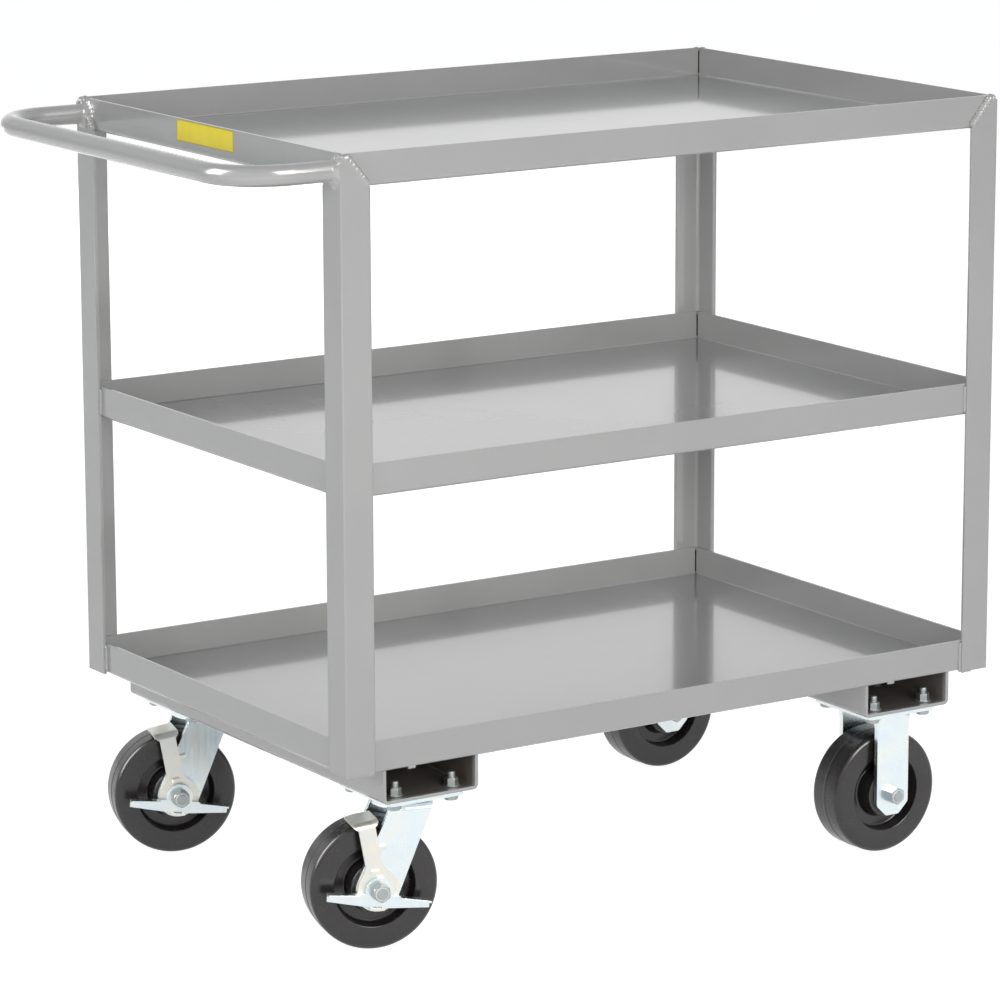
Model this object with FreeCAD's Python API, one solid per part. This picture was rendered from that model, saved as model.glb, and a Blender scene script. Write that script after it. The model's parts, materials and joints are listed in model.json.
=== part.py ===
"""Three-shelf welded steel tool cart: angle-iron legs, folded tray shelves, a bent tube push
handle, two rigid casters under the plain end and two braked swivel casters under the handle end.

Millimetres.  +X points away from the handle, +Y is the left side as the cart is pushed, +Z is up.
The origin is on the floor, below the middle of the box around the whole cart.
"""
import FreeCAD, Part
import math
import os
from FreeCAD import Placement, Rotation, Vector

# ---- frame -------------------------------------------------------------------------------
cart_length = 914.4            # over the outsides of the legs, along X
cart_width = 609.6             # over the outsides of the legs, along Y
top_rim_height = 930.0         # floor to the rim of the top shelf
middle_rim_height = 583.0      # floor to the rim of the middle shelf

angle_width = 38.1             # leg angle iron, each flange
angle_thickness = 4.8
angle_heel_radius = 1.2
angle_toe_radius = 1.8
leg_top_drop = 5.0             # the legs stop this far below the top rim
leg_top_flat = 11.0            # level part of the leg top beside the heel, before the slope

sheet_thickness = 2.7          # shelves
lip_height = 38.1              # underside of the shelf to its rim
shelf_bend_radius = 2.0        # inside of the fold
shelf_corner_slit = 1.2        # open slit where two lips meet

channel_width = 127.0          # caster channels, along X
channel_depth = 40.0
channel_thickness = 4.0
channel_bend_radius = 2.5      # inside of the fold
channel_end_inset = 3.0        # channel end to the outside of the shelf lip

handle_tube_od = 24.0
handle_tube_wall = 2.1
handle_reach = 121.0           # leg face to the middle of the cross bar
handle_bend_radius = 68.0      # middle of the tube
handle_side_inset = 14.3       # outside of the leg to the middle of the arm
handle_drop = 19.0             # top rim down to the middle of the tube

# ---- casters -----------------------------------------------------------------------------
caster_setback_x = 116.2       # outside of the leg to the middle of the caster channel
caster_setback_y = 71.8        # outside of the leg to the middle of the caster's plate
wheel_diameter = 152.4
tread_width = 50.8
tread_shoulder_radius = 6.5
rim_inner_radius = 48.0
rim_edge_chamfer = 1.0
web_thickness = 18.0
web_draft = 1.6                # the recess walls lean this much
hub_radius = 30.0
hub_length = 61.9
hub_edge_chamfer = 1.5

fork_thickness = 6.35
fork_bend_radius = 3.0         # inside of the fold
bushing_length = 63.7
bushing_od = 19.05
bushing_wall = 3.1
axle_fit = 0.05                # radial play of turning pieces on the axle
roller_diameter = 4.76
roller_play = 0.1
roller_count = 8
roller_end_ring = 2.0
bearing_end_gap = 1.0          # hub face to the bearing's end ring

plate_length = 101.6           # along X
plate_width = 114.3            # along Y
plate_thickness = 6.35
plate_corner_radius = 8.0
plate_hole_spacing_x = 76.2
plate_hole_spacing_y = 92.1
plate_slot_travel = 6.0        # the plate's holes run inward by this much

mount_bolt_diameter = 9.5
mount_bolt_play = 0.4
mount_head_height = 6.0
mount_hex_width = 14.3
mount_nut_height = 8.3
mount_washer_diameter = 20.6
mount_washer_thickness = 1.6
mount_thread_past_nut = 7.0

axle_bolt_diameter = 12.7
axle_hex_width = 19.05
axle_head_height = 8.0
axle_nut_height = 11.0
axle_thread_past_nut = 2.0

rigid_fork_width = 47.5
rigid_fork_flare = 50.0        # width right under the plate
rigid_flare_height = 22.0      # plate down to where the flare ends
rigid_fork_end = 25.5          # axle down to the end of the leg
rigid_end_chamfer = 14.0
rigid_end_round = 6.0          # softens the corners of that chamfer
rib_half_width = 18.0          # pressed stiffening rib on the rigid legs
rib_rise = 3.6
rib_length = 41.0              # fork crown down to the rib's round end

swivel_lead = 39.4             # kingpin to axle
swivel_rest_angle = -16.0      # how far the swivel casters stand turned, degrees
swivel_fork_width = 50.0
swivel_fork_offset = 3.0       # the top of the leg sits this far ahead of the kingpin
swivel_fork_end_radius = 26.0
race_gap = 6.0                 # top plate to fork crown
race_ring_height = 2.6
race_outer_radius = 36.0
race_inner_radius = 24.0
ball_diameter = 6.35
ball_circle_radius = 30.0
ball_count = 12
ball_play = 0.3
ball_seat_play = 0.02
kingpin_diameter = 15.9
kingpin_head_radius = 12.0
kingpin_head_height = 4.0
kingpin_nut_width = 24.0
kingpin_nut_height = 9.0
kingpin_thread_past_nut = 2.0
kingpin_wheel_gap = 4.6        # end of the kingpin to the tread

running_gap = 0.3              # between flat faces that move past each other
brake_lean = 10.0              # brake strap off the vertical, degrees
strap_thickness = 3.0
strap_eye_radius = 25.0
strap_eye_fillet = 20.0        # from the eye into the neck
strap_neck_half_width = 10.0
strap_tab_reach = 8.0          # small tab on the strap's leading edge
strap_tab_height = 4.5
strap_tab_top = 50.5           # axle to the tab's top
strap_flare_height = 5.0       # the neck widens to the shoe over this height
strap_bend_radius = 5.5        # inside of the fold over the tread
shoe_width = 30.0              # along the tread
shoe_overlap = 38.8            # how far the shoe reaches in over the tread
brake_release_gap = 2.6        # shoe to tread, brake off
brake_travel = 2.3             # how far the strap moves to brake
strap_lug_width = 9.0
strap_lug_height = 5.0
strap_lug_reach = 3.6

lever_thickness = 4.0
lever_disc_radius = 16.6
lever_tilt = 8.4               # how far the lever stands turned with the brake off, degrees
pedal_reach = 61.0             # axle to the pedal's tip
pedal_root = 16.0
pedal_tip_top = -6.0
pedal_tip_bottom = -15.5
pedal_root_top = -4.0
pedal_root_bottom = -19.0
pedal_flange_start = 25.0
pedal_flange_reach = 8.0
pedal_flange_thickness = 2.4
lever_tongue_half_width = 9.0
lever_tongue_reach = 22.5
lever_slot_length = 10.0
lever_slot_height = 2.0
lever_slot_drop = 19.0         # axle down to the slot

# ---- derived places ----------------------------------------------------------------------
box_shift = (handle_reach + handle_tube_od / 2) / 2      # legs' middle to the box's middle
caster_spread_x = cart_length - 2 * caster_setback_x     # between the two channels
caster_spread_y = cart_width - 2 * caster_setback_y      # between left and right casters
kingpin_below_crown = running_gap + kingpin_nut_height + kingpin_thread_past_nut
caster_height = (wheel_diameter + kingpin_wheel_gap + kingpin_below_crown + fork_thickness
                 + race_gap + plate_thickness)           # floor to the underside of the channels
foot_height = caster_height + channel_depth              # underside of the bottom shelf
bottom_rim_height = foot_height + lip_height
shelf_length = cart_length - 2 * angle_thickness
shelf_width = cart_width - 2 * angle_thickness
wheel_radius = wheel_diameter / 2
plate_bottom = caster_height - plate_thickness
fork_inner = bushing_length / 2
fork_outer = fork_inner + fork_thickness
rigid_crown_top = plate_bottom
swivel_crown_top = plate_bottom - race_gap
axle_radius = axle_bolt_diameter / 2
bearing_inner = bushing_od / 2 + roller_play
bearing_outer = bearing_inner + roller_diameter
strap_inner_face = fork_outer + running_gap
strap_outer_face = strap_inner_face + strap_thickness
lever_inner_face = strap_outer_face + running_gap
lever_outer_face = lever_inner_face + lever_thickness

X, Y, Z = Vector(1, 0, 0), Vector(0, 1, 0), Vector(0, 0, 1)


# ---- small builders ----------------------------------------------------------------------
def box(x0, x1, y0, y1, z0, z1):
    return Part.makeBox(x1 - x0, y1 - y0, z1 - z0, Vector(x0, y0, z0))


def cylinder(radius, start, end):
    way = end - start
    return Part.makeCylinder(radius, way.Length, start, way)


def moved(shape, x=0.0, y=0.0, z=0.0, turn=0.0, axis=Z):
    """A copy turned about a line through the origin, then shifted."""
    copy = shape.copy()
    copy.Placement = Placement(Vector(x, y, z), Rotation(axis, turn)).multiply(copy.Placement)
    return copy


def prism(points, start, way):
    """A closed outline of points and arcs, pushed along a direction.

    Each entry is a Vector, or a pair (middle, end) for an arc that runs on from the last point.
    """
    edges = []
    first = last = points[0]
    for entry in points[1:] + [first]:
        end = entry[1] if isinstance(entry, tuple) else entry
        if (end - last).Length > 1e-6:
            if isinstance(entry, tuple):
                edges.append(Part.Arc(last, entry[0], end).toShape())
            else:
                edges.append(Part.LineSegment(last, end).toShape())
        last = end
    face = Part.Face(Part.Wire(edges))
    face.translate(start)
    return face.extrude(way)


def rounded(shape, radius, wanted):
    """Fillet the straight edges whose middle passes the test."""
    edges = [edge for edge in shape.Edges if wanted(edge.CenterOfMass, edge.tangentAt(edge.FirstParameter))]
    return shape.makeFillet(radius, edges)


def is_upright(way):
    return abs(way.z) > 0.99


def hex_prism(width, height):
    """A hexagon on the XY plane, one flat facing +X, with the height along +Z."""
    reach = width / math.sqrt(3)
    corners = []
    for step in range(6):
        angle = math.radians(30 + 60 * step)
        corners.append(Vector(reach * math.cos(angle), reach * math.sin(angle), 0))
    block = prism(corners, Vector(), Z * height)
    chamfer_cone = Part.makeCone(reach, width / 2, reach - width / 2, Vector(0, 0, height - (reach - width / 2)))
    lower = Part.makeCylinder(reach, height - (reach - width / 2))
    return block.common(lower.fuse(chamfer_cone))


def tangent_point(outside, centre, radius, side):
    """Where a line from a point touches a circle in the XZ plane; side picks which of the two."""
    way = outside - centre
    spread = math.acos(radius / way.Length)
    angle = math.atan2(way.z, way.x) + side * spread
    return centre + Vector(radius * math.cos(angle), 0, radius * math.sin(angle))


# ---- frame -------------------------------------------------------------------------------
def leg(corner):
    """One angle-iron leg, heel at the cart's corner; its top slopes down on both flanges."""
    top = top_rim_height - leg_top_drop
    slope_end = top_rim_height - lip_height
    root_radius = sheet_thickness + shelf_corner_slit
    angle = box(0, angle_width, 0, angle_width, foot_height, top)
    angle = angle.cut(box(angle_thickness, angle_width, angle_thickness, angle_width, foot_height, top))

    def at(x, y):
        return lambda middle, way: is_upright(way) and (middle - Vector(x, y, middle.z)).Length < 0.01

    angle = rounded(angle, root_radius, at(angle_thickness, angle_thickness))
    angle = rounded(angle, angle_toe_radius, at(angle_width, angle_thickness))
    angle = rounded(angle, angle_toe_radius, at(angle_thickness, angle_width))
    angle = rounded(angle, angle_heel_radius, at(0, 0))
    slope = [Vector(leg_top_flat, 0, top), Vector(angle_width, 0, slope_end), Vector(angle_width, 0, top)]
    angle = angle.cut(prism(slope, Vector(), Y * angle_width))
    slope = [Vector(0, leg_top_flat, top), Vector(0, angle_width, slope_end), Vector(0, angle_width, top)]
    angle = angle.cut(prism(slope, Vector(), X * angle_width))
    side_x, side_y = ((-1, -1), (1, -1), (1, 1), (-1, 1))[corner]
    return moved(angle, side_x * cart_length / 2, side_y * cart_width / 2, 0, 90 * corner)


def shelf(rim_height):
    """A folded tray: flat deck, four upright lips, a square notch and a thin slit at each corner."""
    floor = rim_height - lip_height
    half_x, half_y = shelf_length / 2, shelf_width / 2
    outer_radius = shelf_bend_radius + sheet_thickness

    def tray(inset, bottom, radius):
        block = box(-half_x + inset, half_x - inset, -half_y + inset, half_y - inset, bottom, rim_height)
        return rounded(block, radius, lambda middle, way: abs(middle.z - bottom) < 0.01)

    pan = tray(0, floor, outer_radius).cut(tray(sheet_thickness, floor + sheet_thickness, shelf_bend_radius))
    notch = sheet_thickness + shelf_corner_slit
    for side_x in (-1, 1):
        for side_y in (-1, 1):
            corner = box(-notch, notch, -notch, notch, floor, rim_height)
            pan = pan.cut(moved(corner, side_x * half_x, side_y * half_y))
    return pan


def caster_channel(middle_x):
    """A formed channel, open upward, across the underside, with bolt holes for two casters."""
    half_x = channel_width / 2
    half_y = shelf_width / 2 - channel_end_inset
    top = caster_height + channel_depth

    def trough(inset, bottom, radius):
        block = box(-half_x + inset, half_x - inset, -half_y, half_y, bottom, top)
        return rounded(block, radius, lambda middle, way: abs(middle.z - bottom) < 0.01 and abs(way.y) > 0.99)

    channel = trough(0, caster_height, channel_bend_radius + channel_thickness)
    channel = channel.cut(trough(channel_thickness, caster_height + channel_thickness, channel_bend_radius))
    for side in (-1, 1):
        for x, y in bolt_places():
            hole = Part.makeCylinder(mount_bolt_diameter / 2 + mount_bolt_play, channel_depth,
                                     Vector(x, y + side * caster_spread_y / 2, caster_height))
            channel = channel.cut(hole)
    return moved(channel, middle_x)


def push_handle():
    """A bent tube: two arms out from the leg faces, two round corners and a cross bar."""
    face = -cart_length / 2
    bar = face - handle_reach
    side = cart_width / 2 - handle_side_inset
    height = top_rim_height - handle_drop
    bend = handle_bend_radius
    diagonal = bend * (1 - math.sqrt(0.5))
    path = Part.Wire([
        Part.LineSegment(Vector(face, -side, height), Vector(bar + bend, -side, height)).toShape(),
        Part.Arc(Vector(bar + bend, -side, height), Vector(bar + diagonal, -side + diagonal, height),
                 Vector(bar, -side + bend, height)).toShape(),
        Part.LineSegment(Vector(bar, -side + bend, height), Vector(bar, side - bend, height)).toShape(),
        Part.Arc(Vector(bar, side - bend, height), Vector(bar + diagonal, side - diagonal, height),
                 Vector(bar + bend, side, height)).toShape(),
        Part.LineSegment(Vector(bar + bend, side, height), Vector(face, side, height)).toShape(),
    ])

    def rod(radius):
        ring = Part.Wire([Part.makeCircle(radius, Vector(face, -side, height), X)])
        return path.makePipeShell([ring], True, True)

    return rod(handle_tube_od / 2).cut(rod(handle_tube_od / 2 - handle_tube_wall))


# ---- pieces that every caster has ---------------------------------------------------------
def bolt_places():
    for side_x in (-1, 1):
        for side_y in (-1, 1):
            yield side_x * plate_hole_spacing_x / 2, side_y * plate_hole_spacing_y / 2


def top_plate():
    """The plate that bolts under the channel; its four holes are slots that run inward."""
    half_x, half_y = plate_length / 2, plate_width / 2
    plate = box(-half_x, half_x, -half_y, half_y, plate_bottom, caster_height)
    plate = rounded(plate, plate_corner_radius, lambda middle, way: is_upright(way))
    radius = mount_bolt_diameter / 2 + mount_bolt_play
    for x, y in bolt_places():
        inward = y - math.copysign(plate_slot_travel, y)
        slot = Part.makeCylinder(radius, plate_thickness, Vector(x, y, plate_bottom))
        slot = slot.fuse(Part.makeCylinder(radius, plate_thickness, Vector(x, inward, plate_bottom)))
        low, high = min(y, inward), max(y, inward)
        slot = slot.fuse(box(x - radius, x + radius, low, high, plate_bottom, caster_height))
        plate = plate.cut(slot)
    return plate


def mounting_bolts():
    """Four hex bolts, heads under the plate, threads up through the channel."""
    tip = (caster_height + channel_thickness + mount_washer_thickness + mount_nut_height
           + mount_thread_past_nut)
    head = moved(hex_prism(mount_hex_width, mount_head_height), turn=180, axis=X)
    bolts = []
    for x, y in bolt_places():
        shank = cylinder(mount_bolt_diameter / 2, Vector(x, y, plate_bottom), Vector(x, y, tip))
        bolts.append(shank.fuse(moved(head, x, y, plate_bottom)).removeSplitter())
    return Part.makeCompound(bolts)


def mounting_nuts():
    """Washer and nut on each bolt, inside the channel."""
    seat = caster_height + channel_thickness
    pieces = []
    for x, y in bolt_places():
        bore = Part.makeCylinder(mount_bolt_diameter / 2, channel_depth, Vector(x, y, seat))
        washer = Part.makeCylinder(mount_washer_diameter / 2, mount_washer_thickness, Vector(x, y, seat))
        nut = moved(hex_prism(mount_hex_width, mount_nut_height), x, y, seat + mount_washer_thickness)
        pieces += [washer.cut(bore), nut.cut(bore)]
    return Part.makeCompound(pieces)


def wheel():
    """Moulded wheel turned about Y: flat tread, round shoulders, recessed web and a hub boss."""
    half = tread_width / 2
    hub = hub_length / 2
    web = web_thickness / 2
    soft = tread_shoulder_radius
    diagonal = soft * (1 - math.sqrt(0.5))

    def side(sign):
        return [
            Vector(bearing_outer, sign * hub, 0),
            Vector(hub_radius - hub_edge_chamfer, sign * hub, 0),
            Vector(hub_radius, sign * (hub - hub_edge_chamfer), 0),
            Vector(hub_radius + web_draft, sign * web, 0),
            Vector(rim_inner_radius - web_draft, sign * web, 0),
            Vector(rim_inner_radius, sign * (half - rim_edge_chamfer), 0),
            Vector(rim_inner_radius + rim_edge_chamfer, sign * half, 0),
            Vector(wheel_radius - soft, sign * half, 0),
            (Vector(wheel_radius - diagonal, sign * (half - diagonal), 0),
             Vector(wheel_radius, sign * (half - soft), 0)),
        ]

    right, left = side(-1), side(1)
    shoulder_start = left[-2]
    shoulder = (left[-1][0], shoulder_start)
    outline = right + [left[-1][1], shoulder] + left[-3::-1]
    blank = prism(outline, Vector(), Z)
    face = [f for f in blank.Faces if abs(f.CenterOfMass.z) < 1e-6][0]
    return face.revolve(Vector(), Y, 360)


def roller_bearing():
    """Rollers in the wheel's bore, held between two end rings."""
    half = hub_length / 2 - bearing_end_gap
    inner_half = half - roller_end_ring
    pitch = bearing_inner + roller_diameter / 2
    pieces = []
    for start, end in ((-half, -inner_half), (inner_half, half)):
        ring = cylinder(bearing_outer, Y * start, Y * end)
        pieces.append(ring.cut(cylinder(bearing_inner, Y * start, Y * end)))
    for step in range(roller_count):
        angle = 2 * math.pi * step / roller_count
        place = Vector(pitch * math.cos(angle), 0, pitch * math.sin(angle))
        pieces.append(cylinder(roller_diameter / 2, place - Y * inner_half, place + Y * inner_half))
    return Part.makeCompound(pieces)


def bushing():
    """The sleeve that the fork legs clamp and the rollers turn on."""
    outer = cylinder(bushing_od / 2, Y * -fork_inner, Y * fork_inner)
    return outer.cut(cylinder(bushing_od / 2 - bushing_wall, Y * -fork_inner, Y * fork_inner))


def axle_bolt(nut_seat):
    """Hex bolt along Y, head on the +Y leg, thread past the nut on the -Y side."""
    tip = -(nut_seat + axle_nut_height + axle_thread_past_nut)
    head = moved(hex_prism(axle_hex_width, axle_head_height), y=fork_outer, turn=-90, axis=X)
    return cylinder(axle_radius, Y * tip, Y * fork_outer).fuse(head).removeSplitter()


def axle_nut(nut_seat):
    nut = moved(hex_prism(axle_hex_width, axle_nut_height), y=-nut_seat, turn=90, axis=X)
    end = nut_seat + axle_nut_height
    return nut.cut(cylinder(axle_radius, Y * -nut_seat, Y * -end))


def fork_blank(crown_top, half_x_low, half_x_high, bottom):
    """A strip folded down on both sides, before its legs are trimmed to their outline."""
    outer = box(-half_x_low, half_x_high, -fork_outer, fork_outer, bottom, crown_top)
    inner = box(-half_x_low, half_x_high, -fork_inner, fork_inner, bottom, crown_top - fork_thickness)

    def top_edge(height):
        return lambda middle, way: abs(middle.z - height) < 0.01 and abs(way.x) > 0.99

    outer = rounded(outer, fork_bend_radius + fork_thickness, top_edge(crown_top))
    inner = rounded(inner, fork_bend_radius, top_edge(crown_top - fork_thickness))
    return outer.cut(inner)


def axle_hole(x, z):
    reach = fork_outer + 1
    return cylinder(axle_radius + axle_fit, Vector(x, -reach, z), Vector(x, reach, z))


# ---- rigid caster ------------------------------------------------------------------------
def rigid_fork():
    """Straight legs with rounded chamfers at their ends, each with a pressed rib down from the crown."""
    half = rigid_fork_width / 2
    flare = rigid_fork_flare / 2
    end = wheel_radius - rigid_fork_end
    flare_end = rigid_crown_top - rigid_flare_height
    flare_start = rigid_crown_top - fork_bend_radius - fork_thickness
    cut = rigid_end_chamfer
    right = [Vector(half - cut, 0, end), Vector(half, 0, end + cut), Vector(half, 0, flare_end),
             Vector(flare, 0, flare_start), Vector(flare, 0, rigid_crown_top)]
    left = [Vector(-point.x, 0, point.z) for point in reversed(right)]
    outline = prism(right + left, Vector(0, -fork_outer, 0), Y * (2 * fork_outer))
    fork = fork_blank(rigid_crown_top, flare, flare, end).common(outline)
    fork = rounded(fork, rigid_end_round,
                   lambda middle, way: middle.z < end + cut + 0.01 and abs(way.y) > 0.99)
    rib_radius = (rib_half_width ** 2 + rib_rise ** 2) / (2 * rib_rise)
    bottom = rigid_crown_top - rib_length + rib_half_width
    depth = fork_outer + rib_rise - rib_radius
    for side in (-1, 1):
        low = Vector(0, side * depth, bottom)
        rib = cylinder(rib_radius, low, low + Z * rib_length).fuse(Part.makeSphere(rib_radius, low))
        keep = box(-half, half, fork_inner + fork_thickness / 2, fork_outer + rib_rise, end,
                   rigid_crown_top)
        if side < 0:
            keep = moved(keep, turn=180)
        fork = fork.fuse(rib.common(keep))
    return fork.cut(axle_hole(0, wheel_radius)).removeSplitter()


# ---- swivel caster -----------------------------------------------------------------------
def ball_groove(radius):
    height = plate_bottom - race_gap / 2
    return Part.makeTorus(ball_circle_radius, radius, Vector(0, 0, height), Z)


def race_ring(start, height):
    ring = Part.makeCylinder(race_outer_radius, height, Vector(0, 0, start))
    return ring.cut(Part.makeCylinder(race_inner_radius, height, Vector(0, 0, start)))


def kingpin_blank(play):
    """Countersunk head flush with the plate's top, and the shank."""
    radius = kingpin_diameter / 2 + play
    head = Part.makeCone(radius, kingpin_head_radius, kingpin_head_height,
                         Vector(0, 0, caster_height - kingpin_head_height))
    end = swivel_crown_top - fork_thickness - kingpin_below_crown
    return head.fuse(Part.makeCylinder(radius, caster_height - end, Vector(0, 0, end)))


def swivel_plate():
    """Top plate with the upper ball race under it and the kingpin's countersink."""
    plate = top_plate().fuse(race_ring(plate_bottom - race_ring_height, race_ring_height))
    plate = plate.cut(ball_groove(ball_diameter / 2 + ball_play))
    return plate.cut(kingpin_blank(0)).removeSplitter()


def kingpin():
    return kingpin_blank(0).removeSplitter()


def kingpin_nut():
    top = swivel_crown_top - fork_thickness - running_gap
    nut = moved(hex_prism(kingpin_nut_width, kingpin_nut_height), z=top, turn=180, axis=X)
    return nut.cut(Part.makeCylinder(kingpin_diameter / 2, kingpin_nut_height,
                                     Vector(0, 0, top - kingpin_nut_height)))


def swivel_balls():
    height = plate_bottom - race_gap / 2
    balls = []
    for step in range(ball_count):
        angle = 2 * math.pi * step / ball_count
        place = Vector(ball_circle_radius * math.cos(angle), ball_circle_radius * math.sin(angle), height)
        balls.append(Part.makeSphere(ball_diameter / 2, place))
    return Part.makeCompound(balls)


def swivel_fork():
    """Raked legs that trail the kingpin, under a crown that carries the lower ball race."""
    axle = Vector(-swivel_lead, 0, wheel_radius)
    end = swivel_fork_end_radius
    front = Vector(swivel_fork_width / 2 + swivel_fork_offset, 0, swivel_crown_top)
    back = Vector(-swivel_fork_width / 2 + swivel_fork_offset, 0, swivel_crown_top)
    front_touch = tangent_point(front, axle, end, -1)
    back_touch = tangent_point(back, axle, end, 1)
    outline = [back, front, front_touch, (axle - Z * end, back_touch)]
    trimmed = prism(outline, Vector(0, -fork_outer, 0), Y * (2 * fork_outer))
    blank = fork_blank(swivel_crown_top, swivel_lead + 2 * end, front.x, axle.z - end)
    fork = blank.common(trimmed)
    crown = Part.makeCylinder(race_outer_radius, fork_thickness, Vector(0, 0, swivel_crown_top - fork_thickness))
    crown = crown.common(box(-race_outer_radius, race_outer_radius, -fork_inner, fork_inner, 0, swivel_crown_top))
    fork = fork.fuse(crown).fuse(race_ring(swivel_crown_top, race_ring_height))
    fork = fork.cut(ball_groove(ball_diameter / 2 + ball_seat_play))
    bore = Part.makeCylinder(kingpin_diameter / 2 + axle_fit, caster_height)
    return fork.cut(bore).cut(axle_hole(axle.x, axle.z)).removeSplitter()


def brake_strap():
    """Strap on the axle with a shoe folded in over the tread; made upright, then leaned back."""
    fold_top = wheel_radius + brake_release_gap + strap_thickness
    eye, neck, fillet = strap_eye_radius, strap_neck_half_width, strap_eye_fillet
    shoe = shoe_width / 2
    wide = max(eye, shoe, neck + strap_tab_reach)
    flare_top = fold_top - strap_thickness
    flare_start = flare_top - strap_flare_height
    tab = neck + strap_tab_reach
    tab_low = strap_tab_top - strap_tab_height
    centre = Vector(neck + fillet, 0, math.sqrt((eye + fillet) ** 2 - (neck + fillet) ** 2))
    on_eye = centre * (eye / (eye + fillet))
    on_neck = Vector(neck, 0, centre.z)
    halfway = centre + (on_eye - centre + on_neck - centre).normalize() * fillet

    def mirrored(point):
        return Vector(-point.x, 0, point.z)

    face = [on_eye, (halfway, on_neck), Vector(neck, 0, tab_low), Vector(tab, 0, tab_low),
            Vector(tab, 0, strap_tab_top), Vector(neck, 0, strap_tab_top),
            Vector(neck, 0, flare_start), Vector(shoe, 0, flare_top), Vector(shoe, 0, fold_top),
            Vector(-shoe, 0, fold_top), Vector(-shoe, 0, flare_top), Vector(-neck, 0, flare_start),
            mirrored(on_neck), (mirrored(halfway), mirrored(on_eye)), (Vector(0, 0, -eye), on_eye)]
    reach = strap_outer_face - shoe_overlap - strap_thickness
    outline = prism(face, Vector(0, -strap_outer_face, 0), Y * (strap_outer_face - reach))
    outer = box(-wide, wide, -strap_outer_face, -reach, -eye, fold_top)
    inner = box(-wide, wide, -strap_inner_face, -reach, -eye, fold_top - strap_thickness)

    def fold(height, y):
        return lambda middle, way: (abs(middle.z - height) < 0.01 and abs(middle.y - y) < 0.01
                                    and abs(way.x) > 0.99)

    outer = rounded(outer, strap_bend_radius + strap_thickness, fold(fold_top, -strap_outer_face))
    inner = rounded(inner, strap_bend_radius, fold(fold_top - strap_thickness, -strap_inner_face))
    strap = outer.cut(inner).common(outline)
    lug_low = lever_disc_radius + brake_travel + running_gap
    strap = strap.fuse(box(-strap_lug_width / 2, strap_lug_width / 2, -strap_outer_face - strap_lug_reach,
                           -strap_outer_face, lug_low, lug_low + strap_lug_height))
    slot = axle_radius + running_gap
    for height in (0, brake_travel):
        strap = strap.cut(cylinder(slot, Vector(0, -strap_outer_face, height), Vector(0, -strap_inner_face, height)))
    strap = strap.cut(box(-slot, slot, -strap_outer_face, -strap_inner_face, 0, brake_travel))
    return moved(strap.removeSplitter(), turn=-brake_lean, axis=Y)


def brake_lever():
    """Cam disc on the axle with a foot pedal each side, folded out along its top edge."""
    start = Vector(0, -lever_outer_face, 0)
    way = Y * lever_thickness
    right = [Vector(pedal_root, 0, pedal_root_bottom), Vector(pedal_reach, 0, pedal_tip_bottom),
             Vector(pedal_reach, 0, pedal_tip_top), Vector(pedal_root, 0, pedal_root_top)]
    left = [Vector(-point.x, 0, point.z) for point in reversed(right)]
    lever = prism(right + left, start, way)
    lever = lever.fuse(cylinder(lever_disc_radius, Y * -lever_outer_face, Y * -lever_inner_face))
    tongue = lever_tongue_half_width
    lever = lever.fuse(box(-tongue, tongue, -lever_outer_face, -lever_inner_face, -lever_tongue_reach, 0))
    rise = (pedal_tip_top - pedal_root_top) / (pedal_reach - pedal_root)
    for side in (-1, 1):
        flange_top = pedal_root_top + rise * (pedal_flange_start - pedal_root)
        low = -pedal_flange_thickness
        flange = [Vector(side * pedal_flange_start, 0, flange_top), Vector(side * pedal_reach, 0, pedal_tip_top),
                  Vector(side * pedal_reach, 0, pedal_tip_top + low),
                  Vector(side * pedal_flange_start, 0, flange_top + low)]
        lever = lever.fuse(prism(flange, Vector(0, -lever_outer_face, 0), Y * -pedal_flange_reach))
    lever = lever.cut(cylinder(axle_radius + axle_fit, Y * -lever_outer_face, Y * -lever_inner_face))
    half_slot = lever_slot_length / 2
    lever = lever.cut(box(-half_slot, half_slot, -lever_outer_face, -lever_inner_face,
                          -lever_slot_drop - lever_slot_height / 2, -lever_slot_drop + lever_slot_height / 2))
    return moved(lever.removeSplitter(), turn=lever_tilt, axis=Y)


# ---- assembly ----------------------------------------------------------------------------
def frame_nodes():
    corners = ("leg_handle_right", "leg_front_right", "leg_front_left", "leg_handle_left")
    nodes = {name: leg(corner) for corner, name in enumerate(corners)}
    nodes["shelf_top"] = shelf(top_rim_height)
    nodes["shelf_middle"] = shelf(middle_rim_height)
    nodes["shelf_bottom"] = shelf(bottom_rim_height)
    nodes["push_handle"] = push_handle()
    nodes["caster_channel_handle"] = caster_channel(-caster_spread_x / 2)
    nodes["caster_channel_front"] = caster_channel(caster_spread_x / 2)
    return nodes


def wheel_set(nut_seat):
    """The pieces on one axle, with the axle through the origin along Y."""
    return {"wheel": wheel(), "bearing": roller_bearing(), "bushing": bushing(),
            "axle_bolt": axle_bolt(nut_seat), "axle_nut": axle_nut(nut_seat)}


def rigid_caster():
    pieces = {"plate": top_plate(), "fork": rigid_fork(), "bolts": mounting_bolts(), "nuts": mounting_nuts()}
    for name, shape in wheel_set(fork_outer).items():
        pieces[name] = moved(shape, z=wheel_radius)
    return {"rigid_" + name: shape for name, shape in pieces.items()}


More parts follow.
